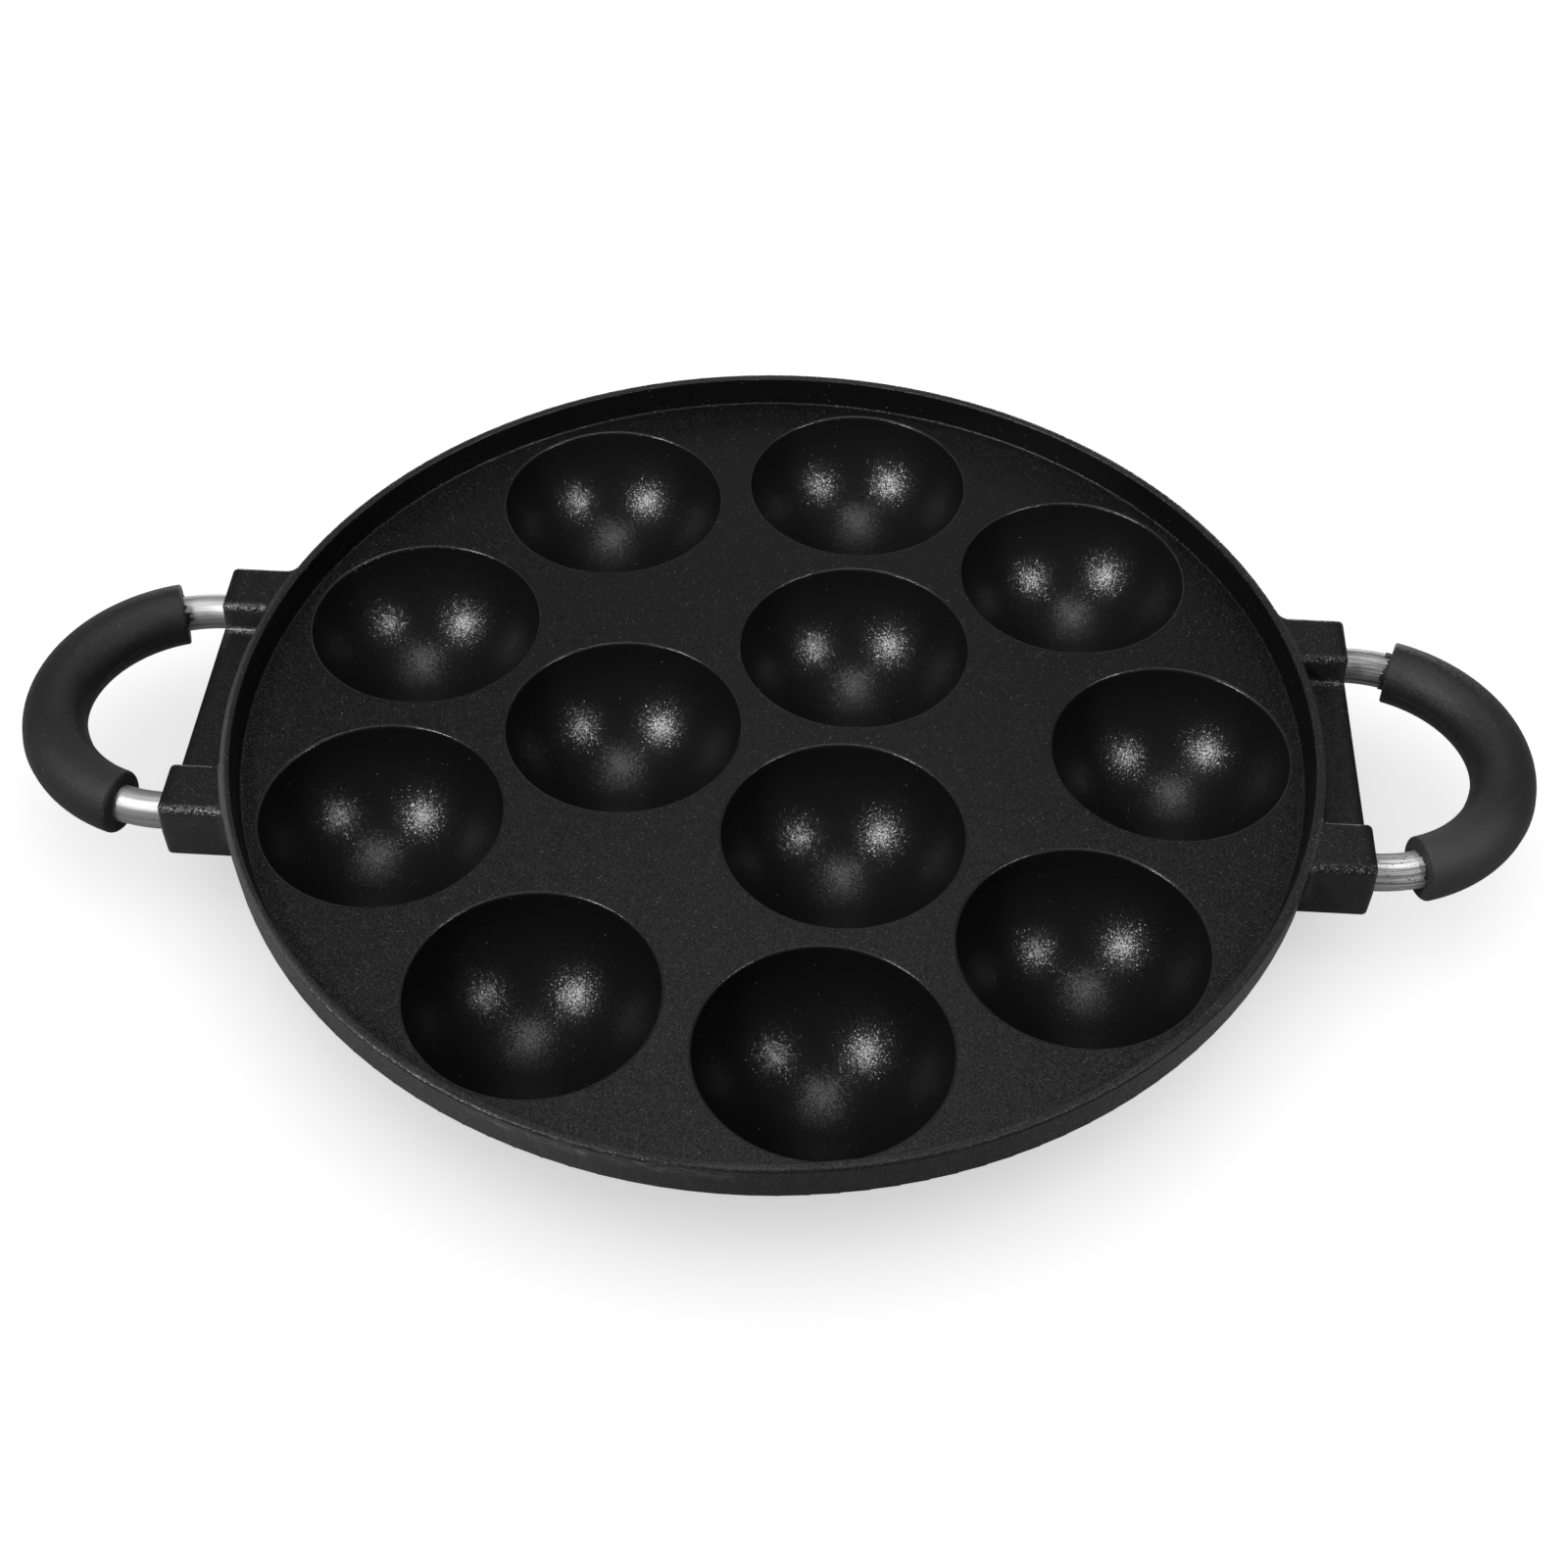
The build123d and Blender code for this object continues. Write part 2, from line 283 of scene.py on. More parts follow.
# %% Grains of the coat
GRAIN = 0.20 * MM
MIDDLE_COLOUR = (0.5, 0.5, 0.5)
LEAN_SPREAD = 2.0
FLECK_SHARE = 0.004
SMOOTH_FLECK_SHARE = 0.0004
FLECK_GREY = 0.045
# Many bright flakes on the lugs' front edges are a painted glitter highlight, stronger on the left.
GLITTER_SHARE = 0.32
GLITTER_GREY = 0.14


def grains(graph, spot, size):
    """A random colour for each grain, which serves as three random numbers."""
    return graph.add("ShaderNodeTexVoronoi", {"Vector": spot, "Scale": 1 / size}).outputs["Color"]


def leaning_normal(graph, cells, lean, normal):
    """A normal, leaned its own way on each grain."""
    wander = graph.vector("SUBTRACT", cells, MIDDLE_COLOUR)
    reach = graph.product(graph.vector("LENGTH", wander), graph.product(lean, LEAN_SPREAD))
    offset = graph.add("ShaderNodeVectorMath", {"Vector": wander, "Scale": reach}, operation="SCALE")
    return graph.vector("NORMALIZE", graph.vector("ADD", normal, offset.outputs[0]))


def flecks(graph, cells, smooth, glitter_zone):
    """Grey of the grains that hold a bright flake: few in smooth coat, many as painted glitter on lug
    edges.
    """
    chance = graph.add("ShaderNodeSeparateXYZ", {"Vector": cells}).outputs["X"]
    share = graph.between(smooth, FLECK_SHARE, SMOOTH_FLECK_SHARE)
    bright = graph.math("LESS_THAN", chance, graph.between(glitter_zone, share, GLITTER_SHARE))
    return graph.product(bright, graph.between(glitter_zone, FLECK_GREY, GLITTER_GREY))


print("grains of", GRAIN)

# %% [markdown]
# ## Zones of the cups
#
# The finish changes from place to place, so the material has to know where on the casting it is.
# One could paint zones by hand as vertex colours, but the casting's mesh comes from the frame and
# stays as it is. So each zone is worked out from the surface point, as a share from 0 to 1. Where
# a zone is written as a pair, the pair says where it begins and where it is full.
#
# The cups are smooth and deep black, and so is the rim's inner wall, a little less. The rounded
# lips of the cups are lighter: partly rubbed by picks and spoons, partly a painted highlight.

# %% Zones of the cups
CUP_EDGE = (CUP_RADIUS + CUP_LIP_ROUND, CUP_RADIUS)
INNER_WALL_FOOT = (PLATE_TOP + 0.5 * MM, PLATE_TOP + 0.7 * MM)
INNER_WALL_HEAD = (RIM_TOP - 0.2 * MM, RIM_TOP - 0.5 * MM)
INNER_WALL_REACH = PAN_RADIUS - 2 * MM
INNER_WALL_SHARE = 0.6
LIP_INSET = 0.35 * CUP_LIP_ROUND
LIP_HALF_WIDTH = 0.3 * MM
LIP_HALF_HEIGHT = 0.5 * MM


def cup_zones(graph, axis_distance, reach, z):
    """The smooth coat and the lips, whose lighter grey is partly wear and partly a painted highlight."""
    cups = graph.rise(axis_distance, *CUP_EDGE)
    wall_level = graph.product(graph.rise(z, *INNER_WALL_FOOT), graph.rise(z, *INNER_WALL_HEAD))
    inside = graph.product(graph.math("LESS_THAN", reach, INNER_WALL_REACH), INNER_WALL_SHARE)
    lip_ring = graph.band(axis_distance, CUP_RADIUS + LIP_INSET, LIP_HALF_WIDTH)
    lip_level = graph.band(z, PLATE_TOP - LIP_INSET, LIP_HALF_HEIGHT)
    return {
        "smooth": graph.math("MAXIMUM", cups, graph.product(wall_level, inside)),
        "lips": graph.product(lip_ring, lip_level),
    }


print("smooth below", CUP_EDGE, "lips at", CUP_RADIUS + LIP_INSET)

# %% [markdown]
# ## Parts of the rim
#
# The rim's outer wall is turned on a lathe before it is coated, which leaves fine rings, and the
# spray leaves soft upright strokes on it. Its top and its rounded outer edge are a little lighter
# all the way round. Other marks are on one part of the rim only, so this step also gives zones by
# the turn round the pan, which is counted from the right handle towards the back.

# %% Parts of the rim
LUG_SIDE = 41.0 * MM
BESIDE_LUGS = (LUG_SIDE - 1 * MM, LUG_SIDE)
OUTER_WALL = (PAN_RADIUS - 1.6 * MM, PAN_RADIUS - 1.2 * MM)
TOP_HEIGHTS = (RIM_TOP - 0.5 * MM, RIM_TOP - 0.1 * MM)
TOP_INSIDE = (PAN_RADIUS - 2.6 * MM, PAN_RADIUS - 2.2 * MM)
TOP_OUTSIDE = (PAN_RADIUS, PAN_RADIUS - 0.3 * MM)
EDGE_HEIGHTS = (RIM_TOP - 1.4 * MM, RIM_TOP - 0.7 * MM)
EDGE_INSIDE = (PAN_RADIUS - 0.9 * MM, PAN_RADIUS - 0.4 * MM)
EDGE_OUTSIDE = (PAN_RADIUS + 0.3 * MM, PAN_RADIUS)
RING_SIZE = 0.35 * MM
RING_STRETCH = (0.02, 0.02, 1.0)
RING_LEVELS = (0.45, 0.70)
STROKE_SIZE = 0.9 * MM
STROKE_STRETCH = (1.0, 1.0, 0.12)
STROKE_LEVELS = (0.40, 0.70)
TURN_SOFTNESS = radians(4)


def outer_wall(graph, reach, y):
    """1 on the rim's outer wall, clear of the lugs."""
    beside_lugs = graph.rise(graph.math("ABSOLUTE", y), *BESIDE_LUGS)
    return graph.product(graph.rise(reach, *OUTER_WALL), beside_lugs)


def wall_textures(graph, spot):
    """The fine rings round the rim's wall, and the upright strokes on it."""
    rings = graph.noise(graph.stretched(spot, RING_STRETCH), RING_SIZE, detail=3.0)
    strokes = graph.noise(graph.stretched(spot, STROKE_STRETCH), STROKE_SIZE, detail=3.0)
    return rings, strokes


def ring_zone(graph, reach, z, heights, inside, outside):
    """1 above a height, between two distances from the pan's axis."""
    return graph.product(
        graph.rise(z, *heights), graph.rise(reach, *inside), graph.rise(reach, *outside)
    )


def turn_zone(graph, turn, start, end):
    """1 from one turn round the pan to another, with soft ends."""
    past = graph.math("WRAP", turn, 2 * pi, 0.0)
    started = graph.rise(past, start, start + TURN_SOFTNESS)
    return graph.product(started, graph.rise(past, end, end - TURN_SOFTNESS))


def turn_band(graph, turn, centre, half_width):
    """1 at one turn round the pan, fading out to both sides."""
    return graph.band(graph.math("WRAP", turn, 2 * pi, 0.0), centre, half_width)


print("outer wall from", OUTER_WALL)

# %% [markdown]
# ## Wear and painted light of the rim
#
# A pan is slid in and out of a cupboard mostly the same way round, so its rim wears unevenly. The
# outer edge beside the left handle carries a painted highlight. The wall below it is painted
# lighter at the front, and more so at the front left, where the spray's strokes break up that
# painted light. There the edge shows a thin broken line, partly wear and partly a painted glint,
# and where that line ends, fine scratches run on round the wall.
#
# The line is two bands, one by distance and one by height, broken up by a noise. The scratches are
# a noise that is squeezed along the wall: its first coordinate is the way round the pan. Both lie
# on a part of the rim that is given by its two ends. The edge glint and the lighter front and front
# left of the wall fade out to both sides, so each of them is given by its middle and half its width.

# %% Wear and painted light of the rim
# The edge glint is a painted highlight.
EDGE_GLINT_INSIDE = (PAN_RADIUS - 1.5 * MM, PAN_RADIUS - 0.7 * MM)
EDGE_GLINT_PART = (radians(200), radians(46))
BELOW_EDGE = (RIM_TOP - 0.3 * MM, RIM_TOP - 1.0 * MM)
# The lighter front and front left of the wall are painted light.
LIT_FRONT_PART = (radians(275), radians(55))
LIT_FRONT_LEFT_PART = (radians(248.5), radians(28))
LIT_FRONT_LEFT_SHARES = (0.6, 1.4)
# The worn line is partly wear and partly a painted glint.
WORN_GLINT_PART = (radians(222), radians(250))
WORN_GLINT_INSET = 0.24 * MM
WORN_GLINT_WIDTH = 0.15 * MM
GAP_SIZE = 1.2 * MM
GAP_LEVELS = (0.46, 0.60)
GAP_SHARES = (0.2, 1.0)
SCRATCHED_PART = (radians(243), radians(272))
SCRATCH_SIZE = 0.24 * MM
SCRATCH_STRETCH = 0.06
SCRATCH_LEVELS = (0.52, 0.64)
SCRATCH_MIDDLE = RIM_TOP - 1.9 * MM
SCRATCH_HALF_HEIGHT = 2.2 * MM
SCRATCH_WALL = (PAN_RADIUS - 1.3 * MM, PAN_RADIUS - 0.9 * MM)


def worn_glint_line(graph, spot, reach, turn, z):
    """1 in a thin broken line along the rim's outer top edge: partly wear, partly a painted glint."""
    ring = graph.band(reach, PAN_RADIUS - WORN_GLINT_INSET, WORN_GLINT_WIDTH)
    level = graph.band(z, RIM_TOP - WORN_GLINT_INSET, WORN_GLINT_WIDTH)
    gaps = graph.rise(graph.noise(spot, GAP_SIZE, detail=4.0, roughness=0.7), *GAP_LEVELS)
    part = turn_zone(graph, turn, *WORN_GLINT_PART)
    return graph.product(ring, level, graph.between(gaps, *GAP_SHARES), part)


def scratches(graph, reach, turn, z):
    """1 in fine scratches that run round the middle of the rim's wall, past the worn line."""
    place = graph.joined(graph.product(turn, PAN_RADIUS * SCRATCH_STRETCH), z)
    lines = graph.rise(graph.noise(place, SCRATCH_SIZE), *SCRATCH_LEVELS)
    middle = graph.band(z, SCRATCH_MIDDLE, SCRATCH_HALF_HEIGHT)
    part = turn_zone(graph, turn, *SCRATCHED_PART)
    return graph.product(lines, middle, graph.rise(reach, *SCRATCH_WALL), part)


def rim_zones(graph, spot, reach, turn, y, z, rings, strokes):
    """The rim's parts, its wear and its painted light."""
    wall = outer_wall(graph, reach, y)
    lower_wall = graph.product(wall, graph.rise(z, *BELOW_EDGE))
    edge_glint_ring = ring_zone(graph, reach, z, EDGE_HEIGHTS, EDGE_GLINT_INSIDE, EDGE_OUTSIDE)
    lit_front_left = graph.product(turn_band(graph, turn, *LIT_FRONT_LEFT_PART), graph.between(strokes, *LIT_FRONT_LEFT_SHARES))
    return {
        "wall": wall,
        "wall rings": graph.product(wall, graph.rise(rings, *RING_LEVELS)),
        "wall strokes": graph.product(wall, graph.rise(strokes, *STROKE_LEVELS)),
        "rim top": ring_zone(graph, reach, z, TOP_HEIGHTS, TOP_INSIDE, TOP_OUTSIDE),
        "rim edge": ring_zone(graph, reach, z, EDGE_HEIGHTS, EDGE_INSIDE, EDGE_OUTSIDE),
        # A painted highlight on the edge.
        "edge glint": graph.product(edge_glint_ring, turn_band(graph, turn, *EDGE_GLINT_PART)),
        # Painted light on the front and front left of the wall.
        "lit front wall": graph.product(lower_wall, turn_band(graph, turn, *LIT_FRONT_PART)),
        "lit front left wall": graph.product(lower_wall, lit_front_left),
        # A line that is partly wear and partly a painted glint.
        "worn glint line": worn_glint_line(graph, spot, reach, turn, z),
        "scratches": scratches(graph, reach, turn, z),
    }


print("worn glint line inset by", WORN_GLINT_INSET)

# %% [markdown]
# ## Zones of the lugs
#
# The spray runs thick over the lugs and fills out their edges, which makes them look rounder than
# the casting below it. A Bevel node turns the normal gradually there and leaves the mesh alone.
# From that softened normal follow the lugs' front edges, whose grains glitter with many painted
# bright flakes, a painted highlight, and their upright sides, which are painted lighter. Both are
# stronger on the left.
#
# The sockets are drilled after coating, so their mouths are bare metal. A fine bright line lies
# where the inner side of each back lug meets the web.

# %% Zones of the lugs
LUG_START = (PAN_RADIUS, PAN_RADIUS + 0.5 * MM)
LUG_SOFTNESS = 3.4 * MM
SOFTNESS_SAMPLES = 8
TILTED = (0.20, 0.65)
NOT_LEVEL = (0.998, 0.94)
FORWARDS = (-0.05, -0.30)
UPRIGHT = (0.45, 0.10)
# The glitter of the lugs' edges is a painted highlight, weaker on the right.
RIGHT_GLITTER = 0.4
# The lighter lug sides are painted light, weaker on the right.
RIGHT_SIDE_LIGHT = 0.3
RIGHT_CREASE = 0.3
CREASE_WIDTH = 0.16 * MM
LUG_INNER_SIDE = BEND_RADIUS - 7.0 * MM
LUG_SLOPE = 0.035
CREASE_Y = LUG_INNER_SIDE + (TUBE_LEVEL - PLATE_TOP) * LUG_SLOPE
SOCKET_Y = BEND_RADIUS
MOUTH_RADIUS = TUBE_RADIUS + 0.42 * MM
MOUTH_EDGE = (MOUTH_RADIUS, MOUTH_RADIUS - 0.1 * MM)
MOUTH_START = (PAN_RADIUS, PAN_RADIUS + 1 * MM)


def soft_normal(graph, lugs):
    """The surface's normal, turned gradually where the spray has filled out the lugs' edges."""
    radius = graph.product(lugs, LUG_SOFTNESS)
    return graph.add("ShaderNodeBevel", {"Radius": radius}, samples=SOFTNESS_SAMPLES).outputs[0]


def lug_edges(graph, facing, lugs):
    """1 on the rounded top edges at the front of the lugs, which face neither up nor forwards."""
    tilted = graph.product(graph.rise(facing["Z"], *TILTED), graph.rise(facing["Z"], *NOT_LEVEL))
    return graph.product(tilted, graph.rise(facing["Y"], *FORWARDS), lugs)


def socket_mouths(graph, x, y, z):
    """1 on the bare metal at the mouth of each socket and inside it."""
    beside = graph.math("SUBTRACT", graph.math("ABSOLUTE", y), SOCKET_Y)
    above = graph.math("SUBTRACT", z, TUBE_LEVEL)
    bore = graph.rise(graph.vector("LENGTH", graph.joined(beside, above)), *MOUTH_EDGE)
    return graph.product(bore, graph.rise(graph.math("ABSOLUTE", x), *MOUTH_START))


def lug_zones(graph, x, y, z, normal, lugs):
    """The parts of the lugs and webs."""
    facing = graph.add("ShaderNodeSeparateXYZ", {"Vector": normal}).outputs
    at_left = graph.math("LESS_THAN", x, 0.0)
    edges = lug_edges(graph, facing, lugs)
    upright = graph.product(graph.rise(facing["Z"], *UPRIGHT), lugs)
    crease = graph.product(
        graph.band(y, CREASE_Y, CREASE_WIDTH), graph.band(z, PLATE_TOP, 2 * CREASE_WIDTH), lugs
    )
    return {
        "lugs": lugs,
        "lug edges": edges,
        # Painted glitter on the front edges, stronger on the left.
        "glittering edges": graph.product(edges, graph.between(at_left, RIGHT_GLITTER, 1.0)),
        # Painted light on the upright sides, stronger on the left.
        "lit lug sides": graph.product(upright, graph.between(at_left, RIGHT_SIDE_LIGHT, 1.0)),
        "creases": graph.product(crease, graph.between(at_left, RIGHT_CREASE, 1.0)),
        "bare metal": socket_mouths(graph, x, y, z),
    }


print("socket mouths of", MOUTH_RADIUS)

# %% [markdown]
# ## The coat's grey
#
# The coat is black, and the grey of each zone is the part of the light that its grains scatter.
# All greys are linear, so 0.003 is nearly black and 0.55 is bare metal. The zones that only tint
# the coat add up. The marks that cover it don't: the brightest of them wins. Several greys are
# painted light: the plate is painted lighter towards the front, and the edge glint, the lighter
# front and front left of the rim's wall, the lighter lug sides and the glitter of the lugs' edges
# are painted light and highlights. The worn line and the lips are partly wear, partly painted.

# %% The coat's grey
# The plate is painted lighter towards the front: painted light.
PLATE_LIGHT_SPAN = (50 * MM, -90 * MM)
PLATE_GREYS_AND_LIGHT = (0.0008, 0.0028)
CUP_GREY = 0.0028
WALL_SHADE = 0.3
ADDED_GREYS = {
    "wall rings": 0.0046,
    "wall strokes": 0.0046,
    "lugs": 0.0026,
    "rim top": 0.0038,
    "rim edge": 0.0045,
    # A painted highlight on the rim's edge.
    "edge glint": 0.0240,
    # Painted light: the wall's front and front left are lighter.
    "lit front wall": 0.0040,
    "lit front left wall": 0.0205,
    # Painted light: the lug sides are lighter on the left.
    "lit lug sides": 0.0095,
    "scratches": 0.09,
}
MARK_GREYS = {
    # The worn line is partly wear and partly a painted glint.
    "worn glint line": 0.16,
    # The lips' grey is partly wear and partly a painted highlight.
    "lips": 0.012,
    "creases": 0.30,
    "bare metal": 0.55,
}


def coat_grey(graph, y, zones, cells):
    """The coat's colour: the zones add up, and the brightest mark covers them."""
    # Painted light: the plate grows lighter towards the front.
    plate = graph.between(graph.rise(y, *PLATE_LIGHT_SPAN), *PLATE_GREYS_AND_LIGHT)
    grey = graph.between(zones["smooth"], plate, CUP_GREY)
    grey = graph.product(grey, graph.between(zones["wall"], 1.0, WALL_SHADE))
    for name, amount in ADDED_GREYS.items():
        grey = graph.plus(grey, zones[name], amount)
    # Many bright flakes on the lugs' front edges are a painted glitter highlight.
    grey = graph.math("ADD", grey, flecks(graph, cells, zones["smooth"], zones["glittering edges"]))
    for name, tone in MARK_GREYS.items():
        grey = graph.math("MAXIMUM", grey, graph.product(zones[name], tone))
    return graph.colour(grey, grey, grey)


print("greys of", len(ADDED_GREYS), "zones and", len(MARK_GREYS), "marks")

# %% [markdown]
# ## The coat's material
#
# A non-stick coat is a dull black plastic with a low, even gloss. Its refractive index is set
# below that of a smooth plastic, because light is lost between the grains. How far the grains lean
# and how rough each one is differ between the plate, the cups, their lips and the lugs' edges.

# %% The coat's material
COAT_INDEX = 1.22
COAT_LEAN = {"plate": 0.34, "cup": 0.19, "lip": 0.06, "edge": 0.26}
COAT_ROUGHNESS = {"plate": 0.36, "cup": 0.23, "lip": 0.22, "edge": 0.30}
RING_DEPTH = 0.02 * MM


def by_zone(graph, zones, plate, cup, lip, edge):
    """A value that differs between the plate, the cups, their lips and the lugs' edges."""
    value = graph.between(zones["smooth"], plate, cup)
    value = graph.between(zones["lips"], value, lip)
    return graph.between(zones["lug edges"], value, edge)


def coat_material():
    """Black non-stick coat on cast aluminium."""
    graph = Graph("black_coat")
    spot, x, y, z = surface_point(graph)
    axis_distance, reach, turn = cup_distance(graph, x, y)
    rings, strokes = wall_textures(graph, spot)
    lugs = graph.rise(reach, *LUG_START)
    normal = soft_normal(graph, lugs)
    zones = {
        **cup_zones(graph, axis_distance, reach, z),
        **rim_zones(graph, spot, reach, turn, y, z, rings, strokes),
        **lug_zones(graph, x, y, z, normal, lugs),
    }
    cells = grains(graph, spot, GRAIN)
    lean = by_zone(graph, zones, **COAT_LEAN)
    turned = graph.add("ShaderNodeBump", {
        "Height": graph.product(rings, zones["wall"]),
        "Distance": RING_DEPTH,
        "Normal": leaning_normal(graph, cells, lean, normal),
    }).outputs[0]
    return graph.finish(
        Base_Color=coat_grey(graph, y, zones, cells), Metallic=zones["bare metal"],
        Roughness=by_zone(graph, zones, **COAT_ROUGHNESS), IOR=COAT_INDEX, Normal=turned,
    )


coat = coat_material()
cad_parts["pan_casting"].data.materials[0] = coat
print("coat on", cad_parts["pan_casting"].name, "with", len(coat.node_tree.nodes), "nodes")

# %% [markdown]
# ## Handle steel
#
# The handle is a drawn steel tube, polished along its length, so its scratches run with it, also
# round the bend. Noise stretched along X would run straight through the bend. So the point is
# first put in the tube's own terms: where it is across the tube, and how far it has turned round
# the bend. Both come from its distance to the middle of the bend.

# %% The tube's own coordinates
ALONG_STRETCH = 0.02


def tube_place(graph, x, y, z):
    """The point across the tube (outwards and up), and its turn round the bend."""
    past_bend = graph.math("MAXIMUM", graph.math("SUBTRACT", graph.math("ABSOLUTE", x), BEND_X), 0.0)
    reach = graph.vector("LENGTH", graph.joined(past_bend, y))
    outwards = graph.math("SUBTRACT", reach, BEND_RADIUS)
    above = graph.math("SUBTRACT", z, TUBE_LEVEL)
    turn = graph.math("ARCTAN2", y, past_bend)
    return outwards, above, turn


def tube_streaks(graph, outwards, above, turn, size):
    """Scratches that run along the tube, each about one size wide."""
    along = graph.product(turn, BEND_RADIUS * ALONG_STRETCH)
    return graph.noise(graph.joined(outwards, above, along), size, detail=4.0, roughness=0.6)


print("tube coordinates ready")

# %% [markdown]
# ## Marks on the steel
#
# A tube like this is rolled from strip and welded, which leaves a thin seam. It winds round the
# tube a little as the tube is bent. Heat leaves small dark stains, and the front of each handle,
# where the pan is held, is pitted.

# %% Marks on the steel
SEAM_START = radians(96.5)
SEAM_TWIST = 0.53
SEAM_WIDTH = 0.12 * MM
SEAM_DARKNESS = 0.8
STAIN_SIZE = 1.2 * MM
STAIN_LEVELS = (0.60, 0.72)
STAIN_DARKNESS = 0.35
PIT_SIZE = 0.5 * MM
PIT_LEVELS = (0.62, 0.68)
PIT_DARKNESS = 0.9


def seam(graph, outwards, above, turn, start):
    """1 along the weld seam, which lies at an angle round the tube that changes with the bend."""
    angle = graph.math("ARCTAN2", above, outwards)
    target = graph.math("MULTIPLY_ADD", turn, SEAM_TWIST, start)
    offset = graph.math("WRAP", graph.math("SUBTRACT", angle, target), pi, -pi)
    return graph.band(graph.product(offset, TUBE_RADIUS), 0.0, SEAM_WIDTH)


def steel_darkness(graph, spot, place, at_front, wear, seam_start):
    """How dark the stains, the pits and the seam make the steel, from 0 to 1."""
    stains = graph.rise(graph.noise(spot, STAIN_SIZE, detail=5.0, roughness=0.7), *STAIN_LEVELS)
    pits = graph.rise(graph.noise(spot, PIT_SIZE), *PIT_LEVELS)
    pitted = graph.product(pits, at_front, PIT_DARKNESS * wear)
    dark = graph.math("MAXIMUM", graph.product(stains, STAIN_DARKNESS), pitted)
    line = graph.product(seam(graph, *place, seam_start), SEAM_DARKNESS)
    return graph.math("MAXIMUM", line, dark)


print("seam of", SEAM_WIDTH)

# %% [markdown]
# ## The steel's material
#
# The steel is a metal whose tone, roughness and bump all follow its scratches: deep ones are dark
# and dull. The right tube is well scratched and darker at its back, and the left one is smoother,
# so one function makes both, with a wear from 0 for smooth to 1 for well scratched.

# %% The steel's material
FRONT_SPAN = (8 * MM, -8 * MM)
FINE_SCRATCH = 0.5 * MM
FINE_LEVELS = (0.32, 0.68)
FINE_DARK = 0.85
FINE_BRIGHT = 1.10
WEAR_DARKENS = 0.45
WEAR_BRIGHTENS = 0.40
BROAD_SCRATCH = 2.4 * MM
BROAD_LEVELS = (0.35, 0.65)
BROAD_TONES = (0.80, 1.15)
DARKEST = 0.1
STEEL_ROUGHNESS = (0.58, 0.44)
WEAR_ROUGHNESS = 0.16
SCRATCH_DEPTH = 0.04 * MM
WEAR_DEPTH = 0.06 * MM
TUBE_LOOKS = {
    # tone at the front, tone at the back, wear, where the seam starts
    "right": (0.38, 0.18, 1.0, SEAM_START),
    "left": (0.29, 0.28, 0.2, SEAM_START - pi),
}


def steel_material(name, front_tone, back_tone, wear, seam_start):
    """Polished steel tube with a weld seam: wear goes from 0 for smooth to 1 for well scratched."""
    graph = Graph(name)
    spot, x, y, z = surface_point(graph)
    place = tube_place(graph, x, y, z)
    fine = tube_streaks(graph, *place, FINE_SCRATCH)
    broad = tube_streaks(graph, *place, BROAD_SCRATCH)
    at_front = graph.rise(y, *FRONT_SPAN)
    dark = steel_darkness(graph, spot, place, at_front, wear, seam_start)
    fine_ends = (FINE_DARK - WEAR_DARKENS * wear, FINE_BRIGHT + WEAR_BRIGHTENS * wear)
    shade = graph.product(
        graph.between(graph.rise(fine, *FINE_LEVELS), *fine_ends),
        graph.between(graph.rise(broad, *BROAD_LEVELS), *BROAD_TONES),
        graph.between(at_front, back_tone, front_tone),
        graph.between(dark, 1.0, DARKEST),
    )
    dullness = graph.between(at_front, 0.0, WEAR_ROUGHNESS * wear)
    roughness = graph.math("ADD", graph.between(fine, *STEEL_ROUGHNESS), dullness)
    bump = {"Height": fine, "Distance": SCRATCH_DEPTH + WEAR_DEPTH * wear}
    scratched = graph.add("ShaderNodeBump", bump).outputs[0]
    colour = graph.colour(shade, shade, shade)
    return graph.finish(Base_Color=colour, Metallic=1.0, Roughness=roughness, Normal=scratched)


for side, look in TUBE_LOOKS.items():
    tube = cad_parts[f"{side}_handle_tube"]
    tube.data.materials[0] = steel_material(f"{side}_tube_steel", *look)
print("steel on", len(TUBE_LOOKS), "tubes")

# %% [markdown]
# ## Spring pins
#
# A slotted pin of hard spring steel holds each end of a tube in its lug. It is blued by its heat
# treatment and stays dark, with a faint mottling. It shows only from below.

# %% The pins' material
PIN_MOTTLE = 0.8 * MM
PIN_TONES = (0.10, 0.24)
PIN_BLUENESS = 1.08
PIN_ROUGHNESS = (0.28, 0.5)


def pin_material():
    """Dark, heat-treated spring steel."""
    graph = Graph("spring_steel")
    spot = surface_point(graph)[0]
    mottle = graph.noise(spot, PIN_MOTTLE, detail=4.0)
    tone = graph.between(mottle, *PIN_TONES)
    colour = graph.colour(tone, tone, graph.product(tone, PIN_BLUENESS))
    return graph.finish(Base_Color=colour, Metallic=1.0, Roughness=graph.between(mottle, *PIN_ROUGHNESS))


spring_steel = pin_material()
pin_names = [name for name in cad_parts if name.endswith("roll_pin")]
for name in pin_names:
    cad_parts[name].data.materials[0] = spring_steel
print("spring steel on", pin_names)

# %% [markdown]
# ## Rubber
#
# The sleeves are black moulded rubber with a fine matt grain. The grain scatters the light of the
# lamps into a broad, soft sheen. Dust clings to rubber, so there are a few pale specks, and there
# are short scuffs where the sleeve was pushed on. The front of each sleeve, where it is gripped, is
# duller, and it is painted a little greyer as a painted sheen, more so on the right.

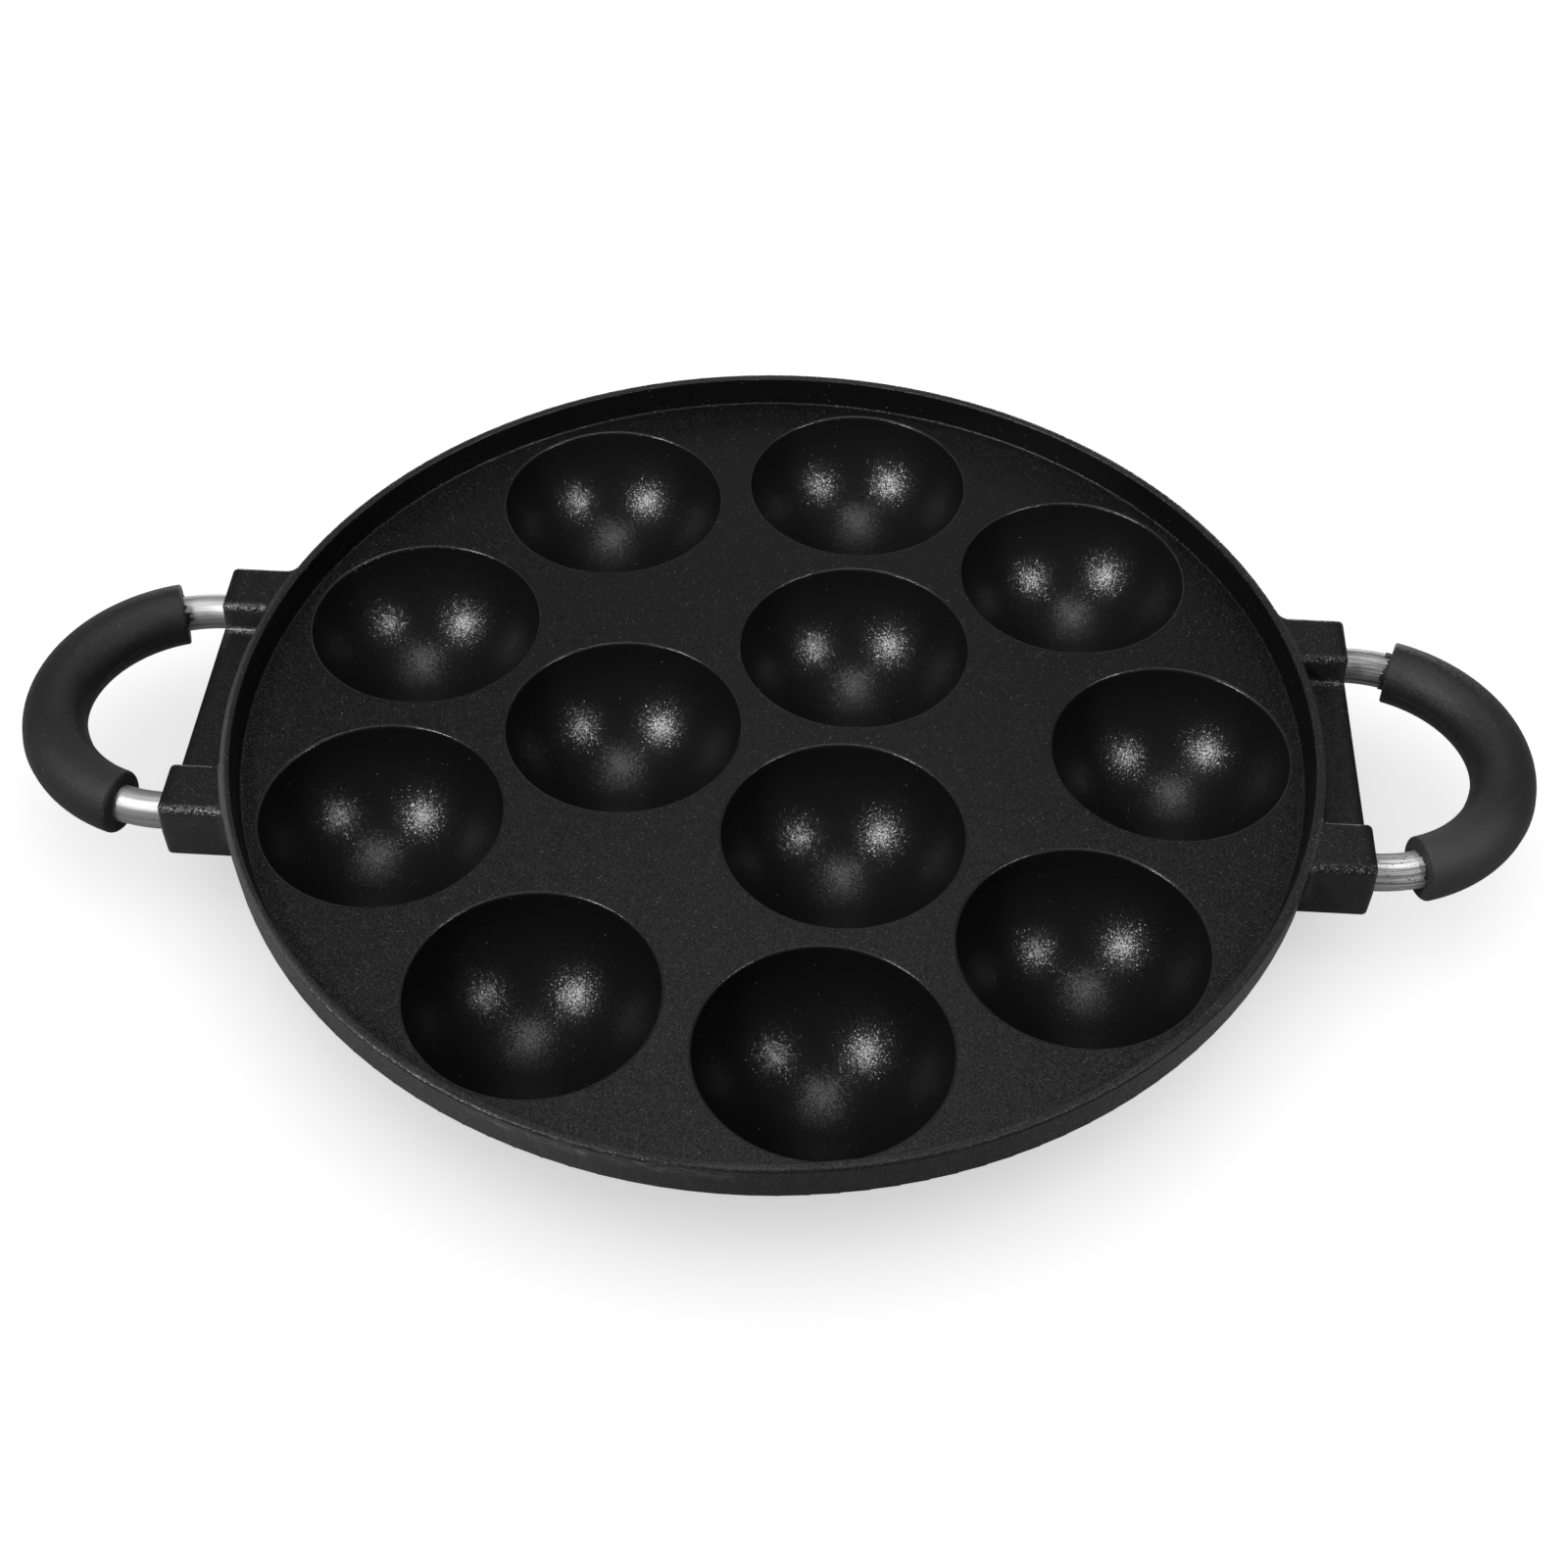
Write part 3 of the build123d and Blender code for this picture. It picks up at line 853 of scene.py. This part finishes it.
# %% The rubber's material
RUBBER_INDEX = 1.33
RUBBER_GRAIN = 0.25 * MM
RUBBER_LEAN = 0.24
RUBBER_TONES = (0.001, 0.003)
RUBBER_ROUGHNESS = (0.64, 0.54)
PORE_SIZE = 0.16 * MM
PORE_DEPTH = 0.02 * MM
MOTTLE_SIZE = 7 * MM
SPECK_SIZE = 0.9 * MM
SPECK_LEVELS = (0.78, 0.81)
SPECK_GREY = 0.05
SCUFF_SIZE = 0.35 * MM
SCUFF_STRETCH = (0.15, 1.0, 1.0)
SCUFF_LEVELS = (0.70, 0.78)
SCUFFED_MOTTLE = (0.52, 0.62)
SCUFF_GREY = 0.006
# The greyer front of each sleeve is a painted sheen.
FRONT_END_SPAN = (-12 * MM, -30 * MM)
FRONT_SHEEN_GREYS = (0.012, 0.004)
HANDLED_ROUGHNESS = 0.06


def rubber_material():
    """Matt black rubber with dust and scuffs."""
    graph = Graph("sleeve_rubber")
    spot, x, y = surface_point(graph)[:3]
    mottle = graph.noise(spot, MOTTLE_SIZE, detail=4.0, roughness=0.6)
    specks = graph.rise(graph.noise(spot, SPECK_SIZE, detail=1.0), *SPECK_LEVELS)
    scuffs = graph.rise(graph.noise(graph.stretched(spot, SCUFF_STRETCH), SCUFF_SIZE), *SCUFF_LEVELS)
    # Painted sheen: the front of each sleeve is greyer, more so on the right.
    front_end = graph.rise(y, *FRONT_END_SPAN)
    front_sheen_grey = graph.between(graph.math("LESS_THAN", x, 0.0), *FRONT_SHEEN_GREYS)
    tone = graph.plus(graph.between(mottle, *RUBBER_TONES), front_end, front_sheen_grey)
    tone = graph.plus(tone, specks, SPECK_GREY)
    tone = graph.plus(tone, graph.product(scuffs, graph.rise(mottle, *SCUFFED_MOTTLE)), SCUFF_GREY)
    pores = {"Height": graph.noise(spot, PORE_SIZE), "Distance": PORE_DEPTH}
    porous = graph.add("ShaderNodeBump", pores).outputs[0]
    grain = leaning_normal(graph, grains(graph, spot, RUBBER_GRAIN), RUBBER_LEAN, porous)
    roughness = graph.plus(graph.between(mottle, *RUBBER_ROUGHNESS), front_end, HANDLED_ROUGHNESS)
    colour = graph.colour(tone, tone, tone)
    return graph.finish(Base_Color=colour, Roughness=roughness, IOR=RUBBER_INDEX, Normal=grain)


rubber = rubber_material()
print("rubber with", len(rubber.node_tree.nodes), "nodes")

# %% [markdown]
# ## Hand tools
#
# Modelling by hand goes in short steps: pick some vertices or edges, then use an operator on
# them. An operator acts on all that is selected, so each helper first deselects everything.

# %% Hand tools
def alone(piece):
    """Select one object and nothing else."""
    bpy.ops.object.select_all(action="DESELECT")
    piece.select_set(True)
    bpy.context.view_layer.objects.active = piece


def pick(piece, kind, test):
    """In edit mode, select the vertices or edges that pass a test, and say how many."""
    bpy.ops.mesh.select_mode(type="VERT" if kind == "verts" else "EDGE")
    bpy.ops.mesh.select_all(action="DESELECT")
    mesh = bmesh.from_edit_mesh(piece.data)
    chosen = [item for item in getattr(mesh, kind) if test(item)]
    for item in chosen:
        item.select_set(True)
    mesh.select_flush_mode()
    bmesh.update_edit_mesh(piece.data)
    return len(chosen)


def thicken(piece, thickness, offset):
    """Give a surface a wall: inwards with an offset of -1, outwards with 1."""
    alone(piece)
    bpy.ops.object.modifier_add(type="SOLIDIFY")
    wall = piece.modifiers[-1]
    wall.thickness = thickness
    wall.offset = offset
    wall.use_even_offset = offset < 0
    bpy.ops.object.modifier_apply(modifier=wall.name)


print("hand tools ready")

# %% [markdown]
# ## A sleeve starts as a ring
#
# The handle bends in a half circle, and the sleeve covers most of it. A torus of the same bend is
# its natural start: two cuts with bisect leave the arc that the sleeve covers. A curve with a
# round bevel could make the same tube, but the torus gives even, square faces, with a row of
# edges exactly in the plane of the bend, where the mould parts.

# %% The sleeve's arc
SLEEVE_HALF_ARC = radians(72)
RING_STEPS = 120
SECTION_STEPS = 64
RIDGE_HEIGHT = 0.10 * MM
BORE_RADIUS = TUBE_RADIUS + 0.1 * MM


def sleeve_arc(side):
    """One sleeve with its wall, cut to its arc: side is 1 on the right and -1 on the left."""
    middle = (side * BEND_X, 0, TUBE_LEVEL)
    bpy.ops.object.select_all(action="DESELECT")
    bpy.ops.mesh.primitive_torus_add(
        location=middle, major_radius=BEND_RADIUS, minor_radius=GRIP_RADIUS - RIDGE_HEIGHT,
        major_segments=RING_STEPS, minor_segments=SECTION_STEPS,
    )
    sleeve = bpy.context.object
    bpy.ops.object.transform_apply()
    bpy.ops.object.mode_set(mode="EDIT")
    for end in (1, -1):
        away = (-side * sin(SLEEVE_HALF_ARC), end * cos(SLEEVE_HALF_ARC), 0)
        bpy.ops.mesh.select_all(action="SELECT")
        bpy.ops.mesh.bisect(plane_co=middle, plane_no=away, clear_outer=True)
    bpy.ops.object.mode_set(mode="OBJECT")
    thicken(sleeve, GRIP_RADIUS - RIDGE_HEIGHT - BORE_RADIUS, -1)
    return sleeve


sides = {"right": 1, "left": -1}
sleeves = {name: sleeve_arc(side) for name, side in sides.items()}
print("sleeve faces", {name: len(sleeve.data.polygons) for name, sleeve in sleeves.items()})

# %% [markdown]
# ## Rounded ends
#
# The outer edge of each end is rounded with a bevel in edit mode: a little where the rubber was
# trimmed, and more at the left sleeve's front, where the mould rounded it. The bore's own edge
# stays sharp. An end is 1 at the back and -1 at the front.

# %% Rounded ends
END_ROUNDS = {
    ("right", 1): 0.5 * MM,
    ("right", -1): 0.6 * MM,
    ("left", 1): 0.5 * MM,
    ("left", -1): 1.1 * MM,
}
END_STEPS = 5
AT_END = 0.01 * MM


def tube_offset(point, side):
    """How far a point is from the tube's centre line, where the tube bends."""
    across = Vector((point.x - side * BEND_X, point.y, 0))
    return Vector((across.length - BEND_RADIUS, point.z - TUBE_LEVEL)).length


def from_end(point, side):
    """How far a point is from the nearer end of its sleeve, along the bend."""
    turn = atan2(abs(point.y), side * point.x - BEND_X)
    return (SLEEVE_HALF_ARC - turn) * BEND_RADIUS


def on_outside(point, side):
    """True for a point of the sleeve's outside rather than of its bore."""
    return tube_offset(point, side) > (GRIP_RADIUS + BORE_RADIUS) / 2


def round_end(sleeve, side, end, size):
    """Round the outer edge of one end."""

    def on_edge(vertex):
        at_end = vertex.co.y * end > 0 and from_end(vertex.co, side) < AT_END
        return at_end and on_outside(vertex.co, side)

    alone(sleeve)
    bpy.ops.object.mode_set(mode="EDIT")
    edges = pick(sleeve, "edges", lambda edge: all(on_edge(vertex) for vertex in edge.verts))
    bpy.ops.mesh.bevel(offset=size, segments=END_STEPS, affect="EDGES")
    bpy.ops.object.mode_set(mode="OBJECT")
    return edges


for (name, end), size in END_ROUNDS.items():
    print(name, "end edges", round_end(sleeves[name], sides[name], end, size))

# %% [markdown]
# ## The parting ridge
#
# A mould in two halves leaves a fine raised line where they meet. It runs along the inside and
# the outside of the bend and stops short of the ends, where the rubber was trimmed. Those edges
# are bevelled into a narrow strip, and the strip's middle is pushed out.

# %% The parting ridge
RIDGE_WIDTH = 0.25 * MM
RIDGE_STARTS = 2.5 * MM
ON_PARTING = 0.001 * MM


def raise_ridge(sleeve, side):
    """Push the parting line of one sleeve out into a fine ridge."""

    def on_parting(vertex):
        level = abs(vertex.co.z - TUBE_LEVEL) < ON_PARTING
        return level and on_outside(vertex.co, side) and from_end(vertex.co, side) > RIDGE_STARTS

    alone(sleeve)
    bpy.ops.object.mode_set(mode="EDIT")
    edges = pick(sleeve, "edges", lambda edge: all(on_parting(vertex) for vertex in edge.verts))
    bpy.ops.mesh.bevel(offset=RIDGE_WIDTH, segments=2, affect="EDGES")
    pick(sleeve, "verts", on_parting)
    bpy.ops.transform.shrink_fatten(value=RIDGE_HEIGHT)
    bpy.ops.object.mode_set(mode="OBJECT")
    return edges


for name, side in sides.items():
    print("ridge edges", raise_ridge(sleeves[name], side))

# %% [markdown]
# ## Torn flash
#
# Rubber that creeps along the tube in the mould leaves a paper-thin collar, and the collar is
# torn off by hand, so a ragged fringe stays. It is longest at the back ends. At the left sleeve's
# back one flap was left standing, and the rest of that collar is torn off short.
#
# A short open cylinder makes the collar, each vertex of its free rim is pulled back by its own
# amount, and Solidify gives it a thin wall. The same seed tears it the same way each time.

# %% The flash before it is torn
FLASH_STEPS = 96
FLASH_HIDDEN = 0.5 * MM
FLASH_WALL = 0.18 * MM
FLASH_RADIUS = TUBE_RADIUS + 0.12 * MM
FLASH_LENGTHS = {
    ("right", 1): 1.5 * MM,
    ("right", -1): 1.0 * MM,
    ("left", 1): 2.2 * MM,
    ("left", -1): 0.3 * MM,
}


def flash_collar(side, end, length):
    """An open collar round the tube that starts inside one end of the sleeve."""
    turn = Vector((side * cos(SLEEVE_HALF_ARC), end * sin(SLEEVE_HALF_ARC), 0))
    away = Vector((-side * sin(SLEEVE_HALF_ARC), end * cos(SLEEVE_HALF_ARC), 0))
    face = Vector((side * BEND_X, 0, TUBE_LEVEL)) + BEND_RADIUS * turn
    depth = FLASH_HIDDEN + length
    bpy.ops.object.select_all(action="DESELECT")
    bpy.ops.mesh.primitive_cylinder_add(
        vertices=FLASH_STEPS, radius=FLASH_RADIUS, depth=depth, end_fill_type="NOTHING",
        location=face + away * (depth / 2 - FLASH_HIDDEN), rotation=away.to_track_quat("Z", "Y").to_euler(),
    )
    collar = bpy.context.object
    bpy.ops.object.transform_apply()
    return collar, face, away


print("collars of", FLASH_STEPS, "steps")

# %% [markdown]
# ## Tearing the flash
#
# A tear wanders: each vertex keeps about as much of the collar as its neighbour does, and a little
# more or less. Pulled back by random amounts alone, the rim would look like a saw.

# %% Tearing the flash
TEAR_SEED = 4
TEAR_START = 0.6
TEAR_LEAST = 0.1
TEAR_MOST = 0.9
TEAR_WANDER = 0.25
TEAR_JITTER = 0.3
TEAR_HIDDEN = 0.6 * FLASH_HIDDEN
SHORT_SHARE = 0.3
FLAP_SHARPNESS = 4
FLAP_SIDES = {("left", 1): Vector((0, -0.8, 0.6))}


def tear(collar, face, away, length, chance, flap_side):
    """Pull the vertices of the free rim back, each by its own amount, less so at a flap."""
    bpy.ops.object.mode_set(mode="EDIT")
    mesh = bmesh.from_edit_mesh(collar.data)
    mesh.verts.ensure_lookup_table()
    rim = [vertex.index for vertex in mesh.verts if (vertex.co - face).dot(away) > 0]
    level = TEAR_START
    for index in rim:
        level = min(TEAR_MOST, max(TEAR_LEAST, level + chance.uniform(-TEAR_WANDER, TEAR_WANDER)))
        kept = min(1.0, max(0.0, level + chance.uniform(-TEAR_JITTER, TEAR_JITTER)))
        if flap_side:
            inwards = (mesh.verts[index].co - face).cross(away).cross(away).normalized()
            at_flap = max(0.0, -inwards.dot(flap_side)) ** FLAP_SHARPNESS
            kept *= SHORT_SHARE + (1 - SHORT_SHARE) * at_flap
        pick(collar, "verts", lambda vertex: vertex.index == index)
        bpy.ops.transform.translate(value=away * (kept - 1) * (length + TEAR_HIDDEN))
    bpy.ops.object.mode_set(mode="OBJECT")


chance = random.Random(TEAR_SEED)
collars = {name: [] for name in sides}
for (name, end), length in FLASH_LENGTHS.items():
    collar, face, away = flash_collar(sides[name], end, length)
    tear(collar, face, away, length, chance, FLAP_SIDES.get((name, end)))
    thicken(collar, FLASH_WALL, 1)
    collars[name].append(collar)
print("collars", {name: len(pair) for name, pair in collars.items()})

# %% [markdown]
# ## Each sleeve as one piece
#
# The collars are joined to their sleeve, the faces are smoothed apart from the sharp edges, and
# the sleeve takes the place of the plain grip of the frame.

# %% Each sleeve as one piece
SMOOTH_BELOW = radians(35)

for name, sleeve in sleeves.items():
    alone(sleeve)
    for collar in collars[name]:
        collar.select_set(True)
    bpy.ops.object.join()
    bpy.ops.object.shade_smooth_by_angle(angle=SMOOTH_BELOW)
    sleeve.name = f"{name}_sleeve"
    sleeve.data.materials.clear()
    sleeve.data.materials.append(rubber)
    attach(sleeve, "root")
    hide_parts(f"{name}_grip")
    print(sleeve.name, "has", len(sleeve.data.polygons), "faces")

# %% [markdown]
# ## Floor
#
# The floor is a plain pale sheet. Lit by the studio alone it would come out grey, so it also glows
# a little, as a photographer's light table does, and the pan's shadow stays faint. A real glow
# would light the pan from below and turn its black coat grey, so this one is only seen: a Light
# Path node gives it to the camera's rays and to no others. From below the floor is clear, so that
# the pan's underside can be looked at.

# %% Floor
FLOOR_SIZE = 6.0
FLOOR_TONE = 0.80
FLOOR_ROUGHNESS = 0.9
FLOOR_GLOW = 0.52
WHITE = (1, 1, 1, 1)


def for_the_camera(nodes, links, hidden, shown):
    """A number that is one value for light and another one where the camera looks straight at it."""
    seen = nodes.new("ShaderNodeLightPath").outputs["Is Camera Ray"]
    strength = nodes.new("ShaderNodeMapRange")
    strength.inputs["To Min"].default_value = hidden
    strength.inputs["To Max"].default_value = shown
    links.new(seen, strength.inputs["Value"])
    return strength.outputs[0]


def show_from_above(graph):
    """Make a surface clear from below."""
    from_below = graph.add("ShaderNodeNewGeometry").outputs["Backfacing"]
    clear = graph.add("ShaderNodeBsdfTransparent").outputs[0]
    paint = graph.shader.outputs["BSDF"]
    one_sided = graph.add("ShaderNodeMixShader", {0: from_below, 1: paint, 2: clear})
    graph.links.new(one_sided.outputs[0], graph.nodes["Material Output"].inputs["Surface"])


def add_floor():
    """The floor that the pan stands on."""
    bpy.ops.mesh.primitive_plane_add(size=FLOOR_SIZE)
    floor = bpy.context.object
    floor.name = "studio_floor"
    graph = Graph("studio_floor_paint")
    glow = for_the_camera(graph.nodes, graph.links, 0.0, FLOOR_GLOW)
    floor.data.materials.append(graph.finish(
        Base_Color=(FLOOR_TONE, FLOOR_TONE, FLOOR_TONE, 1), Roughness=FLOOR_ROUGHNESS,
        Emission_Color=WHITE, Emission_Strength=glow,
    ))
    show_from_above(graph)
    return floor


floor = add_floor()
print("floor of", FLOOR_SIZE, "m")

# %% [markdown]
# ## Lamps
#
# A soft studio lamp is an area light. Light linking says what each one lights. The floor has a
# wide lamp of its own overhead: shone on the pan as well, a lamp of this size would turn the black
# coat grey. All other lamps light the pan and not the floor.

# %% Lamps
FLOOR_LAMP = ("floor_lamp", (0, 0, 1600), 5000, 53.0, (0, 0, 0))


def add_lamp(name, place, size, power, aim):
    """A round lamp at a place, of a size and aimed at a point, all in millimetres."""
    place = Vector(place) * MM
    bpy.ops.object.light_add(type="AREA", location=place)
    lamp = bpy.context.object
    lamp.name = name
    lamp.data.shape = "DISK"
    lamp.data.size = size * MM
    lamp.data.energy = power
    lamp.rotation_euler = (place - Vector(aim) * MM).to_track_quat("Z", "Y").to_euler()
    return lamp


def light_only(lamp, floor, with_floor):
    """Let a lamp light the floor and nothing else, or all but the floor."""
    members = bpy.data.collections.new(f"{lamp.name}_members")
    members.objects.link(floor)
    members.collection_objects[0].light_linking.link_state = "INCLUDE" if with_floor else "EXCLUDE"
    lamp.light_linking.receiver_collection = members


light_only(add_lamp(*FLOOR_LAMP), floor, with_floor=True)
print("floor lamp of", FLOOR_LAMP[3], "W")

# %% [markdown]
# ## Studio light
#
# Round lamps give each cup the same three soft spots, and since they stand near the pan, the
# spots wander a little from cup to cup. The two at the sides are narrow beams aimed past the
# middle, so their spots are brightest in the cups at the back. Three lamps side by side overhead
# make one broad, faint spot together. Two wide lamps behind the pan fill in its far side.

# %% Studio light
LAMPS = (
    # name, place, size, power, aim, beam in degrees
    ("left_softbox", (-552, -349, 742), 230, 2.3, (150, 200, 24), 60),
    ("right_softbox", (644, -213, 719), 130, 0.40, (10, 110, 24), 36),
    ("top_softbox_back", (-7, 350, 1070), 200, 1.6, (0, 0, 24), 180),
    ("top_softbox_left", (-140, 120, 1093), 200, 1.6, (0, 0, 24), 180),
    ("top_softbox_right", (126, 120, 1093), 200, 1.6, (0, 0, 24), 180),
    ("rear_softbox", (0, 500, 960), 600, 1.5, (0, 0, 24), 180),
    ("back_softbox", (0, 1100, 300), 800, 1.2, (0, 0, 24), 180),
)

for name, place, size, power, aim, beam in LAMPS:
    lamp = add_lamp(name, place, size, power, aim)
    lamp.data.spread = radians(beam)
    light_only(lamp, floor, with_floor=False)
print("lamps", [lamp[0] for lamp in LAMPS])

# %% [markdown]
# ## Strip light and air
#
# Black rubber in front of a black pan loses its outline. A long strip lamp far behind the pan draws
# a faint line along the backs of the sleeves. It stands lower than the plate, so none of its light
# falls straight on the plate or into the cups. White air all round fills the shadows, and a
# brighter one stands in for it where the camera looks past the floor.

# %% Strip light and air
STRIP_LAMP = ("rear_strip", (0, 700, 12), 700, 4.0, (0, 0, 12))
STRIP_WIDTH = 20 * MM
AIR_STRENGTH = 0.14
BACKDROP_STRENGTH = 0.85

strip = add_lamp(*STRIP_LAMP)
strip.data.shape = "RECTANGLE"
strip.data.size_y = STRIP_WIDTH
light_only(strip, floor, with_floor=False)


def add_air():
    """White air: weak as light, brighter as a backdrop."""
    air = bpy.data.worlds.new("studio_air")
    air.use_nodes = True
    tree = air.node_tree
    background = tree.nodes["Background"]
    strength = for_the_camera(tree.nodes, tree.links, AIR_STRENGTH, BACKDROP_STRENGTH)
    tree.links.new(strength, background.inputs["Strength"])
    background.inputs["Color"].default_value = WHITE
    return air


bpy.context.scene.world = add_air()
bpy.context.scene.view_settings.view_transform = "Standard"
print("air of", AIR_STRENGTH, "and backdrop of", BACKDROP_STRENGTH)
